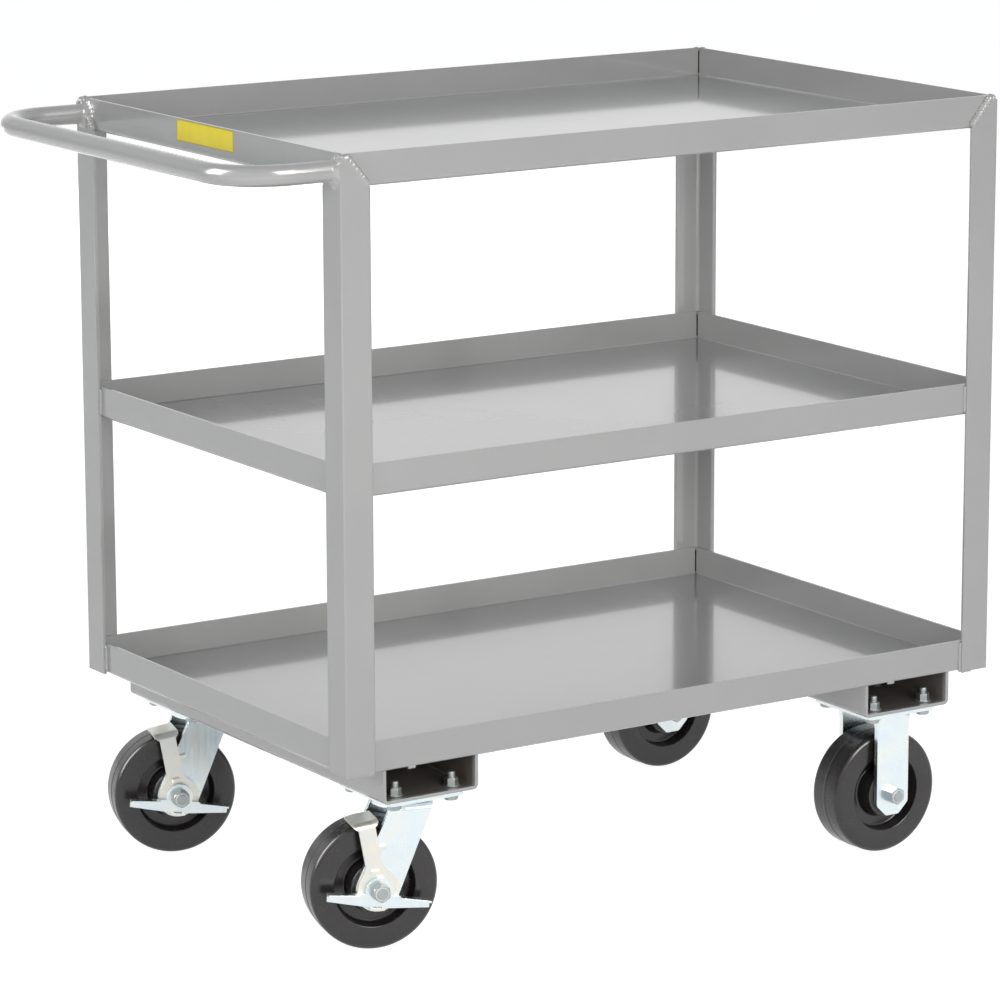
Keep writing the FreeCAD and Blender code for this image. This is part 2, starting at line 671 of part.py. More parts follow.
def swivel_caster():
    """Fixed pieces stay square to the cart; the rest stands turned about the kingpin."""
    fixed = {"plate": swivel_plate(), "kingpin": kingpin(), "kingpin_nut": kingpin_nut(),
             "bolts": mounting_bolts(), "nuts": mounting_nuts()}
    turning = {"fork": swivel_fork(), "balls": swivel_balls()}
    on_axle = wheel_set(lever_outer_face + running_gap)
    on_axle.update({"brake_strap": brake_strap(), "brake_lever": brake_lever()})
    for name, shape in on_axle.items():
        turning[name] = moved(shape, x=-swivel_lead, z=wheel_radius)
    pieces = dict(fixed)
    for name, shape in turning.items():
        pieces[name] = moved(shape, turn=swivel_rest_angle)
    return {"swivel_" + name: shape for name, shape in pieces.items()}


def caster_nodes():
    nodes = {}
    for side_name, side in (("right", -1), ("left", 1)):
        for end, pieces in ((1, rigid_caster()), (-1, swivel_caster())):
            for name, shape in pieces.items():
                nodes[name + "_" + side_name] = moved(shape, end * caster_spread_x / 2,
                                                      side * caster_spread_y / 2)
    return nodes


def main():
    os.makedirs("parts", exist_ok=True)
    nodes = frame_nodes()
    nodes.update(caster_nodes())
    for name, shape in nodes.items():
        moved(shape, box_shift).exportStep("parts/" + name + ".step")


main()
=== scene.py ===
"""Dresses the packed three-shelf tool cart: powder coat, bent push handle, weld beads, moulded
wheels, plated casters, threads, a blank label, and a plain studio stage.

Metres, in the frame of the packed model: +X points away from the handle, +Z is up.
"""
import json
import random
from math import cos, pi, radians, sin, tan

import bmesh
import bpy
from bpy.props import FloatProperty, FloatVectorProperty, IntProperty, PointerProperty
from bpy.types import NodeSocket, Operator, Panel, PropertyGroup
from mathutils import Matrix, Vector


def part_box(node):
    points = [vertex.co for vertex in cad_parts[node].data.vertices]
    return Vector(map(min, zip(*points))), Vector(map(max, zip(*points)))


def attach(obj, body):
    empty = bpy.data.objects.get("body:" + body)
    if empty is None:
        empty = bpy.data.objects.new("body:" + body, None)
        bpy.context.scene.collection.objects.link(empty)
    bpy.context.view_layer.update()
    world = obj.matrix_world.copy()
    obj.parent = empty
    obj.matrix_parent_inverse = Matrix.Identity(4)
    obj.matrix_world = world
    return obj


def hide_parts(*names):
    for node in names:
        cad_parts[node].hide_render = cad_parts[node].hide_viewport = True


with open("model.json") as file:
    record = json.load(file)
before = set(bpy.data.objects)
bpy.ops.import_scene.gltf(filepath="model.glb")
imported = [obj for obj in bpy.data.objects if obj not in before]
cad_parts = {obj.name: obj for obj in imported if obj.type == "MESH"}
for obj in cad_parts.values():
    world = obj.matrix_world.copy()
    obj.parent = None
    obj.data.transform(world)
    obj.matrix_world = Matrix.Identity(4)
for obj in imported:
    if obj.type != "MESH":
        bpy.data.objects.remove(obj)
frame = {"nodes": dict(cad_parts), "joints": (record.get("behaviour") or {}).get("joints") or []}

bl_info = {
    "name": "Tool cart dresser",
    "version": (1, 0, 0),
    "blender": (4, 5, 0),
    "location": "3D View > Sidebar > Tool cart",
    "description": "Finishes, welds, wheels, hardware and stage of a three-shelf tool cart",
    "category": "Object",
}

bpy.context.view_layer.update()
NODES = frame["nodes"]
JOINTS = {joint["name"]: joint for joint in frame["joints"]}
CASTERS = [(caster, side) for caster in ("rigid", "swivel") for side in ("right", "left")]
SHELVES = ("shelf_top", "shelf_middle", "shelf_bottom")
CHANNELS = ("caster_channel_handle", "caster_channel_front")
LEGS = ("leg_handle_right", "leg_front_right", "leg_front_left", "leg_handle_left")
SQUARE = ((-1, -1), (1, -1), (1, 1), (-1, 1))

# ---- sizes read from the frame
LEG_LOW, LEG_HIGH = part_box("leg_front_right")
LEG_WIDTH = LEG_HIGH.x - LEG_LOW.x
HANDLE_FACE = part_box("leg_handle_right")[0].x
SIDE_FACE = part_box("leg_front_left")[1].y
LIP_LOW, LIP_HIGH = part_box("shelf_top")
LEG_THICKNESS = LEG_HIGH.x - LIP_HIGH.x
LEG_TOP_FLAT = 0.011
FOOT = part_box("shelf_bottom")[0].z
CHANNEL_LOW, CHANNEL_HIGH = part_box("caster_channel_front")
HANDLE_LOW, HANDLE_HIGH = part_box("push_handle")
TUBE_RADIUS = (HANDLE_HIGH.z - HANDLE_LOW.z) / 2
TUBE_HEIGHT = (HANDLE_LOW.z + HANDLE_HIGH.z) / 2
TUBE_SIDE = HANDLE_HIGH.y - TUBE_RADIUS
CART_MIDDLE = (LEG_HIGH.x + HANDLE_FACE) / 2


def reach(node, origin, direction):
    """Farthest reach of a node from a point along a direction."""
    return max((vertex.co - origin).dot(direction) for vertex in NODES[node].data.vertices)


def up(height):
    return Vector((0.0, 0.0, height))


# ---- settings
def setting(make, lead="", **kind):
    """A function that makes one kind of setting from its name, its description and its default."""
    return lambda name, text, value, **limits: make(
        name=name, description=lead + text, default=value, **kind, **limits)


length = setting(FloatProperty, min=0.0, subtype="DISTANCE", unit="LENGTH", precision=5)
share = setting(FloatProperty, min=0.0, max=1.0, subtype="FACTOR")
colour = setting(FloatVectorProperty, "Colour of ", size=3, subtype="COLOR", min=0.0, max=1.0)
count = setting(IntProperty)
number = setting(FloatProperty)
power = setting(FloatProperty, "Power of the ", min=0.0, unit="POWER")
angle = setting(FloatProperty, subtype="ANGLE", unit="ROTATION")
spot = setting(FloatVectorProperty, size=3, subtype="TRANSLATION", unit="LENGTH")


class CartFinish(PropertyGroup):
    """Colours and surface grain"""
    coat_colour: colour("Powder coat", "the coated steel", (0.38, 0.385, 0.385))
    coat_roughness: share("Coat roughness", "Blur of the coat's reflections", 0.24)
    peel_size: length("Orange peel size", "Distance between the coat's ripples", 0.0022)
    flow_size: length("Flow size", "Distance between the coat's slow waves", 0.011)
    # Bare steel inside the channels, dark enough to stand as painted shade in those hollows too
    mill_scale_and_shade: colour("Mill scale", "bare steel inside the channels", (0.125, 0.112, 0.102))
    scale_fade: length("Coat reach", "Its reach into the channels", 0.008)
    zinc_colour: colour("Bright zinc", "the plated casters", (0.80, 0.865, 0.885))
    zinc_roughness: share("Zinc roughness", "Blur of the plating's reflections", 0.24)
    dull_zinc_colour: colour("Dull zinc", "the bolts and nuts", (0.42, 0.44, 0.44))
    chromate_colour: colour("Yellow zinc", "the brake straps", (0.80, 0.79, 0.74))
    steel_colour: colour("Bearing steel", "rollers and balls", (0.52, 0.52, 0.53))
    phenolic_colour: colour("Phenolic", "the moulded wheels", (0.015, 0.0135, 0.014))
    fibre_and_sheen_colour: colour("Fibre", "the fibres in the wheels", (0.060, 0.042, 0.036))
    nylon_colour: colour("Nylon", "the lock rings in the axle nuts", (0.72, 0.75, 0.76))
    label_colour: colour("Label", "the blank label", (1.0, 0.84, 0.02))
    label_edge_colour: colour("Label edge", "the label's border", (0.55, 0.42, 0.02))
    edge_rounding: length("Edge rounding", "Radius that the coat gives sharp edges", 0.0007)
    heel_rounding: length("Heel rounding", "Radius of the legs' heels and toes", 0.0028)


class CartWelds(PropertyGroup):
    """Weld beads"""
    top_bead: length("Leg top bead", "Radius of the beads over the leg tops", 0.0050)
    seam_bead: length("Seam bead", "Radius of the beads along the legs' edges", 0.0022)
    collar_bead: length("Collar bead", "Width of the fillets round the handle's ends", 0.0084)
    channel_bead: length("Channel bead", "Radius of the beads along the channels", 0.0026)
    ripple_pitch: length("Ripple pitch", "Distance from one ripple to the next", 0.0040)
    ripple_depth: share("Ripple depth", "How deep the ripples are", 0.22)
    stitch_length: length("Stitch length", "Length of each weld along a channel", 0.040)
    stitch_count: count("Stitches", "Welds along each channel edge", 4, min=1)
    spatter_size: length("Spatter size", "Radius of the specks beside the beads", 0.00045)
    spatter_count: count("Spatter", "Specks beside each leg top bead", 4, min=0)


class CartHandle(PropertyGroup):
    """Push handle"""
    bend_radius: length("Bend radius", "Radius of the tube's middle line", 0.068)
    bend_steps: count("Bend steps", "Pieces of each bend", 28, min=4)
    tube_steps: count("Tube steps", "Pieces round the tube", 56, min=8)


class CartWheels(PropertyGroup):
    """Moulded wheels and the hardware on their axles"""
    face_half: length("Face", "Middle of the wheel to its flat face", 0.0254)
    web_half: length("Web", "Middle of the wheel to its web", 0.009)
    rim_inner: length("Rim", "Radius of the recess", 0.048)
    hub_radius: length("Hub", "Radius of the hub boss", 0.030)
    bore_radius: length("Bore", "Radius of the roller bearing's seat", 0.014385)
    shoulder: length("Shoulder", "Rounding from the tread to the face", 0.0068)
    mould_line: length("Mould line", "Height of the line round the tread", 0.0005)
    turn_steps: count("Turn steps", "Pieces round the wheel", 144, min=24)
    thread_pitch: length("Thread pitch", "Pitch of the mounting bolts' threads", 0.0016)
    axle_pitch: length("Axle pitch", "Pitch of the axle bolts' threads", 0.0020)
    thread_depth: length("Thread depth", "Radius of the thread's ridge", 0.00055)


class CartStage(PropertyGroup):
    """Camera, lamps and floor"""
    camera_place: spot("Camera", "Where the camera stands", (-2.92353, -4.51857, 1.61276))
    camera_azimuth: angle("Azimuth", "Heading, from +Y towards +X", radians(33.018))
    camera_dip: angle("Dip", "How far the camera looks down", radians(12.2435))
    camera_roll: angle("Roll", "How far the camera leans", radians(-0.1816))
    camera_lens: number("Lens", "Focal length in millimetres", 164.27, min=1.0)
    room_light: share("Room light", "Light from all round", 0.20)
    key_power: power("Key", "sheen lamp past the handle's end", 260.0)
    fill_power: power("Fill", "sheen lamp right of the camera", 175.0)
    front_power: power("Front", "wide soft lamp by the camera", 190.0)
    end_power: power("Ends", "soft lamp off each end", 84.0)
    rear_power: power("Rear", "soft lamp behind", 130.0)


# ---- node trees
FAMILIES = ("ShaderNode", "GeometryNode", "FunctionNode", "Node")


class Tree:
    """Adds nodes to one tree and joins them; a node's kind is its type's name after its family's."""

    def __init__(self, tree):
        self.tree = tree

    def node(self, kind, **settings):
        family = next(family for family in FAMILIES if hasattr(bpy.types, family + kind))
        made = self.tree.nodes.new(family + kind)
        for name, value in settings.items():
            setattr(made, name, value)
        return made

    def feed(self, socket, value):
        if isinstance(value, NodeSocket):
            self.tree.links.new(value, socket)
        elif value is not None:
            socket.default_value = value

    def fed(self, made, feeds):
        for name, value in feeds.items():
            self.feed(made.inputs[name], value)
        return made.outputs

    def run(self, kind, feeds, output=0, **settings):
        return self.fed(self.node(kind, **settings), feeds)[output]

    def math(self, operation, *values, clamp=False):
        return self.run("Math", dict(enumerate(values)), operation=operation, use_clamp=clamp)

    def vector(self, operation, *values, output=0):
        return self.run("VectorMath", dict(enumerate(values)), output, operation=operation)

    def split(self, vector):
        return self.fed(self.node("SeparateXYZ"), {0: vector})

    def noise(self, vector, size, detail):
        return self.run("TexNoise", {
            "Vector": vector, "Scale": self.math("DIVIDE", 1.0, size), "Detail": detail}, "Fac")

    def remap(self, value, low, high, to_low=0.0, to_high=1.0, way="LINEAR"):
        return self.run("MapRange", {
            "Value": value, "From Min": low, "From Max": high, "To Min": to_low, "To Max": to_high},
            interpolation_type=way)

    def blend(self, part, first, second, strength=None):
        if strength is not None:
            part = self.math("MULTIPLY", part, strength)
        first, second = (tint if isinstance(tint, NodeSocket) else (*tint, 1.0)
                         for tint in (first, second))
        return self.run("Mix", {0: part, 6: first, 7: second}, 2, data_type="RGBA")

    def group(self, name, feeds):
        return self.fed(self.node("Group", node_tree=bpy.data.node_groups[name]), feeds)

    def show(self, output, shader):
        self.feed(self.node("Output" + output).inputs["Surface"], shader)


def new_group(name, family, inputs, outputs):
    """A group of nodes: its Tree, its input sockets and its output sockets.

    An input's default says what type it is; one without a default is named after its type."""
    tree = bpy.data.node_groups.new(name, family + "NodeTree")
    for label, value in inputs.items():
        kind = {float: "Float", int: "Int"}.get(type(value), label)
        socket = tree.interface.new_socket(label, in_out="INPUT", socket_type="NodeSocket" + kind)
        if value is not None:
            socket.default_value = value
    for label, kind in outputs.items():
        tree.interface.new_socket(label, in_out="OUTPUT", socket_type="NodeSocket" + kind)
    made = Tree(tree)
    return made, made.node("GroupInput").outputs, made.node("GroupOutput").inputs


# ---- effects that several finishes share
def make_grain_group():
    tree, given, result = new_group(
        "surface_grain", "Shader",
        {"Vector": None, "Fine Size": 0.002, "Slow Size": 0.01, "Slow Share": 0.5}, {"Height": "Float"})
    fine = tree.noise(given["Vector"], given["Fine Size"], 1.0)
    slow = tree.noise(given["Vector"], given["Slow Size"], 1.0)
    step = tree.math("SUBTRACT", slow, fine)
    tree.feed(result["Height"], tree.math("MULTIPLY_ADD", step, given["Slow Share"], fine))


def make_patch_group():
    tree, given, result = new_group(
        "soft_patches", "Shader", {"Vector": None, "Size": 0.1, "Softness": 0.2}, {"Mask": "Float"})
    cloud = tree.noise(given["Vector"], given["Size"], 3.0)
    low = tree.math("SUBTRACT", 0.5, given["Softness"])
    high = tree.math("ADD", 0.5, given["Softness"])
    tree.feed(result["Mask"], tree.remap(cloud, low, high, way="SMOOTHSTEP"))


def make_streak_group():
    tree, given, result = new_group(
        "rolled_streaks", "Shader", {"Vector": None, "Length": 0.03, "Width": 0.001}, {"Mask": "Float"})
    size = tree.run("CombineXYZ", {"X": given["Width"], "Y": given["Width"], "Z": given["Length"]})
    tree.feed(result["Mask"], tree.noise(tree.vector("DIVIDE", given["Vector"], size), 1.0, 2.0))


def make_edge_group():
    tree, given, result = new_group(
        "rounded_edges", "Shader", {"Radius": 0.0007}, {"Normal": "Vector", "Edge": "Float"})
    soft = tree.run("Bevel", {"Radius": given["Radius"]}, samples=4)
    tree.feed(result["Normal"], soft)
    flat = tree.node("NewGeometry").outputs["Normal"]
    agreement = tree.vector("DOT_PRODUCT", soft, flat, output="Value")
    tree.feed(result["Edge"], tree.remap(agreement, 0.995, 0.80))


# ---- finishes
def cleared(owner):
    """The emptied node tree of a material or a world."""
    owner.use_nodes = True
    owner.node_tree.nodes.clear()
    return owner.node_tree


class Paint(Tree):
    """A new material with one Principled shader, laid out in object coordinates."""

    def __init__(self, name, tint):
        material = bpy.data.materials.new(name)
        material.diffuse_color = (*tint, 1.0)
        super().__init__(cleared(material))
        principled = self.node("BsdfPrincipled")
        self.show("Material", principled.outputs["BSDF"])
        self.shader = principled.inputs
        self.place = self.node("TexCoord").outputs["Object"]

    def edges(self, radius):
        return self.group("rounded_edges", {"Radius": radius})

    def patches(self, size, softness):
        return self.group("soft_patches", {
            "Vector": self.place, "Size": size, "Softness": softness})["Mask"]

    def bumped(self, height, depth, normal=None):
        return self.run("Bump", {"Height": height, "Distance": depth, "Strength": 1.0, "Normal": normal})

    def grained(self, fine, slow, slow_share, depth, normal=None):
        height = self.group("surface_grain", {
            "Vector": self.place, "Fine Size": fine, "Slow Size": slow, "Slow Share": slow_share})
        return self.bumped(height["Height"], depth, normal)

    def dress(self, tint, roughness, normal=None, **constants):
        """Feed the shader, and set its sockets that stay constant."""
        for label, value in (("Base Color", tint), ("Roughness", roughness), ("Normal", normal)):
            self.feed(self.shader[label], value)
        for label, value in constants.items():
            self.shader[label.replace("_", " ")].default_value = value


def faded(tint, *parts):
    """A tint with its channels multiplied, none of them past white."""
    return tuple(min(1.0, channel * part) for channel, part in zip(tint, parts * 3))


def channel_depths(tree, fade):
    """How deep a point lies in a caster channel: 0 outside and at the mouth, 1 well inside. The coat uses
    it for bare steel darkened as painted shade inside the channels.
    """
    half = (CHANNEL_HIGH.x - CHANNEL_LOW.x) / 2
    spread = (CHANNEL_HIGH.x + CHANNEL_LOW.x) / 2 - CART_MIDDLE
    wall = 0.002
    parts = tree.split(tree.place)
    from_middle = tree.math("ABSOLUTE", tree.math("SUBTRACT", parts["X"], CART_MIDDLE))
    off_axis = tree.math("ABSOLUTE", tree.math("SUBTRACT", from_middle, spread))
    between = tree.math("LESS_THAN", off_axis, half - wall)
    above = tree.math("GREATER_THAN", parts["Z"], CHANNEL_LOW.z + wall)
    below = tree.math("LESS_THAN", parts["Z"], FOOT + wall / 2)
    inward = tree.math("SUBTRACT", CHANNEL_HIGH.y, tree.math("ABSOLUTE", parts["Y"]))
    inside = tree.math("MULTIPLY", between, tree.math("MULTIPLY", above, below))
    return tree.math("MULTIPLY", inside, tree.remap(inward, wall, fade))


def powder_coat(finish, name, rounding=None, shaded_hollows=False, peel=0.00003, wear_and_highlight=0.3, shade=1.0):
    tree = Paint(name, finish.coat_colour)
    edges = tree.edges(rounding or finish.edge_rounding)
    patches = tree.patches(size=0.12, softness=0.35)
    specks = tree.patches(size=0.004, softness=0.3)
    light, dark, paler_coat = (faded(finish.coat_colour, shade * part) for part in (1.03, 0.975, 1.25))
    tint = tree.blend(patches, dark, light)
    tint = tree.blend(specks, tint, paler_coat, 0.06)
    # Edges lightened: partly worn coat, partly a painted highlight along rims, bends and the legs' heels
    tint = tree.blend(edges["Edge"], tint, paler_coat, wear_and_highlight)
    rough = tree.remap(patches, 0.0, 1.0, finish.coat_roughness - 0.02, finish.coat_roughness + 0.03)
    clear = float(shade == 1.0)
    # Inside the channels the coat gives way to dark bare steel, darkened further as painted shade in the
    # hollows
    if shaded_hollows:
        depth = channel_depths(tree, finish.scale_fade)
        ragged = tree.math("MULTIPLY_ADD", specks, 0.2, depth)
        depth = tree.math("MULTIPLY", tree.math("GREATER_THAN", depth, 0.0), ragged, clamp=True)
        tint = tree.blend(depth, tint, finish.mill_scale_and_shade)
        rough = tree.math("MULTIPLY_ADD", depth, 0.35, rough)
        clear = tree.math("SUBTRACT", 1.0, depth)
    tree.feed(tree.shader["Coat Weight"], clear)
    ripples = tree.grained(finish.peel_size, finish.flow_size, 0.6, peel, edges["Normal"])
    tree.dress(tint, rough, ripples, Coat_Roughness=0.08, Coat_IOR=1.5, IOR=1.5)


def plated(finish, name, tint, roughness):
    """Plated steel: faint rolled streaks, and patches that lean to blue and to straw."""
    tree = Paint(name, tint)
    edges = tree.edges(finish.edge_rounding)
    blue, straw = faded(tint, 0.93, 0.98, 1.03), faded(tint, 1.05, 1.01, 0.95)
    patches = tree.patches(size=0.022, softness=0.3)
    spots = tree.patches(size=0.0035, softness=0.2)
    streaks = tree.group("rolled_streaks", {"Vector": tree.place, "Length": 0.05, "Width": 0.003})[0]
    shade = tree.blend(patches, blue, straw)
    shade = tree.blend(spots, shade, faded(tint, 0.6), 0.03)
    rough = tree.remap(streaks, 0.3, 0.7, roughness - 0.02, roughness + 0.03)
    rough = tree.math("MULTIPLY_ADD", spots, 0.015, rough)
    tree.dress(shade, rough, tree.bumped(streaks, 0.000005, edges["Normal"]), Metallic=1.0)


def bearing_steel(finish):
    """Ground steel under a thin film of grease."""
    tree = Paint("ground_steel", finish.steel_colour)
    film = tree.patches(size=0.006, softness=0.15)
    grease = (0.16, 0.12, 0.07)
    tint = tree.blend(film, finish.steel_colour, grease, 0.35)
    tree.dress(tint, tree.remap(film, 0.0, 1.0, 0.22, 0.42),
               tree.grained(0.0008, 0.003, 0.4, 0.00002), Metallic=1.0)


def phenolic(finish):
    """Moulded resin with chopped fibre in it: nearly black, with a brown fleck."""
    tree = Paint("phenolic_resin", finish.phenolic_colour)
    edges = tree.edges(finish.edge_rounding)
    clouds = tree.patches(size=0.018, softness=0.25)
    fleck = tree.patches(size=0.0022, softness=0.25)
    fleck = tree.math("MULTIPLY", fleck, clouds)
    tint = tree.blend(fleck, finish.phenolic_colour, finish.fibre_and_sheen_colour, 0.22)
    # Edges tinted brown: partly fibre showing at worn edges, partly a painted highlight on the mould line
    # and shoulders
    tint = tree.blend(edges["Edge"], tint, finish.fibre_and_sheen_colour, 0.35)
    tree.dress(tint, tree.remap(clouds, 0.0, 1.0, 0.22, 0.29),
               tree.grained(0.0012, 0.006, 0.45, 0.000022, edges["Normal"]), IOR=1.62)


def nylon(finish):
    tree = Paint("nylon_ring", finish.nylon_colour)
    patches = tree.patches(size=0.003, softness=0.3)
    tint = tree.blend(patches, finish.nylon_colour, faded(finish.nylon_colour, 0.9))
    tree.dress(tint, tree.remap(patches, 0.0, 1.0, 0.35, 0.5))


def label_vinyl(finish, centre, half_y, half_z):
    """Printed vinyl: one plain colour with a thin darker border."""
    tree = Paint("label_vinyl", finish.label_colour)
    border = 0.0011
    parts = tree.split(tree.vector("SUBTRACT", tree.place, centre))
    side = tree.math("SUBTRACT", half_y - border, tree.math("ABSOLUTE", parts["Y"]))
    end = tree.math("SUBTRACT", half_z - border, tree.math("ABSOLUTE", parts["Z"]))
    edge = tree.remap(tree.math("MINIMUM", side, end), -0.0001, 0.0001, 1.0, 0.0)
    patches = tree.patches(size=0.02, softness=0.3)
    face = tree.blend(patches, finish.label_colour, faded(finish.label_colour, 0.94))
    tint = tree.blend(edge, face, finish.label_edge_colour)
    tree.dress(tint, tree.remap(patches, 0.0, 1.0, 0.30, 0.42), tree.grained(0.002, 0.02, 0.7, 0.00005))


def assign(finish, nodes):
    for node in nodes:
        for slot in NODES[node].material_slots:
            slot.link = "OBJECT"
            slot.material = bpy.data.materials[finish]


# ---- meshes
def plain_mesh(points, faces=(), edges=()):
    mesh = bpy.data.meshes.new("plain")
    mesh.from_pydata(points, edges, faces)
    return mesh


def new_object(name, data):
    data.name = name
    made = bpy.data.objects.new(name, data)
    bpy.context.scene.collection.objects.link(made)
    return made


def settle(piece, finish, body="cart"):
    """Give a finished piece its material and its body."""
    piece.data.materials.clear()
    piece.data.materials.append(bpy.data.materials[finish])
    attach(piece, body)
    return piece


def seed_lines(paths):
    """A mesh of loose lines, one for each path: (points, ripple)."""
    points, edges, ripples = [], [], []
    for path, ripple in paths:
        first = len(points)
        points += path
        ripples += [ripple] * len(path)
        edges += [(index, index + 1) for index in range(first, len(points) - 1)]
    mesh = plain_mesh(points, edges=edges)
    mesh.attributes.new("ripple", "FLOAT", "POINT").data.foreach_set("value", ripples)
    return mesh


def grow(name, seeds, tree_name, finish, body="cart", slot="grey_powder_coat", **sizes):
    """Run a geometry tree on the seeds, keep the result as a plain mesh, and settle it."""
    piece = new_object(name, seeds)
    modifier = piece.modifiers.new("grow", "NODES")
    modifier.node_group = bpy.data.node_groups[tree_name]
    inputs = {item.name: item.identifier for item in modifier.node_group.interface.items_tree
              if item.in_out == "INPUT"}
    modifier[inputs["Material"]] = bpy.data.materials[finish]
    for label, value in sizes.items():
        modifier[inputs[label.replace("_", " ")]] = value
    bpy.context.view_layer.update()
    grown = bpy.data.meshes.new_from_object(piece.evaluated_get(bpy.context.evaluated_depsgraph_get()))
    if not grown.polygons:
        raise RuntimeError(f"{name} came out empty")
    piece.modifiers.remove(modifier)
    piece.data = grown
    grown.name = name
    return settle(piece, finish, body)


def new_grower(name, sizes):
    """A group that grows geometry from seeds: its Tree, its input sockets, and what takes the shape."""
    tree, given, result = new_group(
        name, "Geometry", {"Geometry": None, **sizes, "Material": None}, {"Geometry": "Geometry"})

    def finish(shape):
        solid = tree.run("RealizeInstances", {"Geometry": shape})
        smooth = tree.run("SetShadeSmooth", {"Geometry": solid})
        tree.feed(result["Geometry"], tree.run("SetMaterial", {
            "Geometry": smooth, "Material": given["Material"]}))

    return tree, given, finish


def swept(tree, line, radius, steps, **more):
    """A round section, swept along a line and closed at its ends."""
    ring = tree.run("CurvePrimitiveCircle", {"Resolution": steps, "Radius": radius})
    return tree.run("CurveToMesh", {"Curve": line, "Profile Curve": ring, "Fill Caps": True, **more})


def make_tube_tree():
    """Bends a line of straight runs and sweeps a round tube along it."""
    tree, given, finish = new_grower("bent_tube", {
        "Tube Radius": 0.012, "Bend Radius": 0.068, "Bend Steps": 24, "Tube Steps": 48})
    line = tree.run("MeshToCurve", {"Mesh": given["Geometry"]})
    bent = tree.run("FilletCurve", {
        "Curve": line, "Count": given["Bend Steps"], "Radius": given["Bend Radius"]}, mode="POLY")
    finish(swept(tree, bent, given["Tube Radius"], given["Tube Steps"]))


def arched(tree, factor, steepness, least, way=None):
    """Narrows a line to both its ends: 1 along the middle, and least at the tips."""
    arch = tree.math("SINE", tree.math("MULTIPLY", factor, pi))
    arch = tree.math("MULTIPLY", arch, steepness, clamp=True)
    if way:
        arch = tree.math("POWER", arch, way)
    return tree.math("MAXIMUM", arch, least)


def make_bead_tree():
    """Sweeps a rippled bead along each line; it narrows to both ends."""
    tree, given, finish = new_grower("weld_bead", {
        "Bead Radius": 0.003, "Ripple Pitch": 0.004, "Ripple Depth": 0.4, "Seed": 0.0})
    line = tree.run("MeshToCurve", {"Mesh": given["Geometry"]})
    step = tree.math("DIVIDE", given["Ripple Pitch"], 7.0)
    fine = tree.run("ResampleCurve", {"Curve": line, "Length": step}, mode="LENGTH")
    spline = tree.node("SplineParameter").outputs
    place = tree.node("InputPosition").outputs[0]
    wander = tree.run("TexNoise", {
        "Vector": place, "W": given["Seed"], "Scale": 260.0, "Detail": 1.0}, noise_dimensions="4D")
    phase = tree.math("DIVIDE", spline["Length"], given["Ripple Pitch"])
    phase = tree.math("MULTIPLY_ADD", wander, 0.8, phase)
    hump = tree.math("ABSOLUTE", tree.math("SINE", tree.math("MULTIPLY", phase, pi)))
    hump = tree.math("POWER", hump, 0.7)
    amount = tree.run("InputNamedAttribute", {"Name": "ripple"})
    amount = tree.math("MULTIPLY", amount, given["Ripple Depth"])
    dip = tree.math("MULTIPLY", amount, tree.math("SUBTRACT", 1.0, hump))
    ripple = tree.math("SUBTRACT", 1.0, dip)
    swell = tree.remap(wander, 0.3, 0.7, 0.9, 1.12)
    arch = arched(tree, spline["Factor"], 5.0, 0.12, way=0.5)
    radius = tree.math("MULTIPLY", tree.math("MULTIPLY", ripple, swell), arch)
    finish(swept(tree, fine, given["Bead Radius"], 14, Scale=radius))


def make_speck_tree():
    """Sets a small blob of random size on every seed point."""
    tree, given, finish = new_grower("weld_spatter", {"Speck Radius": 0.0005, "Seed": 3})
    blob = tree.run("MeshIcoSphere", {"Radius": given["Speck Radius"], "Subdivisions": 2})
    size = tree.run("RandomValue", {"Seed": given["Seed"]}, 1)
    size = tree.remap(size, 0.0, 1.0, 0.55, 1.3)
    size = tree.run("CombineXYZ", {"X": size, "Y": size, "Z": size})
    finish(tree.run("InstanceOnPoints", {"Points": given["Geometry"], "Instance": blob, "Scale": size}))


def make_thread_tree():
    """Winds a screw thread up from every seed point, along the direction stored on it."""
    tree, given, finish = new_grower("screw_thread", {
        "Bolt Radius": 0.005, "Pitch": 0.0015, "Turns": 4.0, "Ridge": 0.0005})
    rise = tree.math("MULTIPLY", given["Pitch"], given["Turns"])
    coil = tree.run("CurveSpiral", {
        "Resolution": 28, "Rotations": given["Turns"], "Start Radius": given["Bolt Radius"],
        "End Radius": given["Bolt Radius"], "Height": rise})
    factor = tree.node("SplineParameter").outputs["Factor"]
    coil = tree.run("SetCurveRadius", {"Curve": coil, "Radius": arched(tree, factor, 4.0, 0.2)})
    ridge = swept(tree, coil, given["Ridge"], 4)
    axis = tree.run("InputNamedAttribute", {"Name": "axis"}, data_type="FLOAT_VECTOR")
    turn = tree.run("AlignRotationToVector", {"Vector": axis}, axis="Z")
    finish(tree.run("InstanceOnPoints", {
        "Points": given["Geometry"], "Instance": ridge, "Rotation": turn}))


def rounded_outline(corners, steps=5):
    """A closed outline with its corners rounded; each corner is (x, y, radius)."""
    outline = []
    for index, (x, y, radius) in enumerate(corners):
        corner = Vector((x, y))
        back, ahead = ((Vector(corners[there % len(corners)][:2]) - corner).normalized()
                       for there in (index - 1, index + 1))
        turn = back.angle(ahead) / 2
        if radius <= 0.0 or turn > radians(89):
            outline.append(corner)
            continue
        centre = corner + (back + ahead).normalized() * (radius / sin(turn))
        start, end = (corner + way * (radius / tan(turn)) - centre for way in (back, ahead))
        sweep = start.angle_signed(end)
        for step in range(steps + 1):
            part = Vector(start)
            part.rotate(Matrix.Rotation(-sweep * step / steps, 2))
            outline.append(centre + part)
    return outline


def baked(mesh):
    """Turn a bmesh into a mesh, with its faces pointing outwards."""
    bmesh.ops.recalc_face_normals(mesh, faces=mesh.faces)
    made = bpy.data.meshes.new("baked")
    mesh.to_mesh(made)
    mesh.free()
    return made


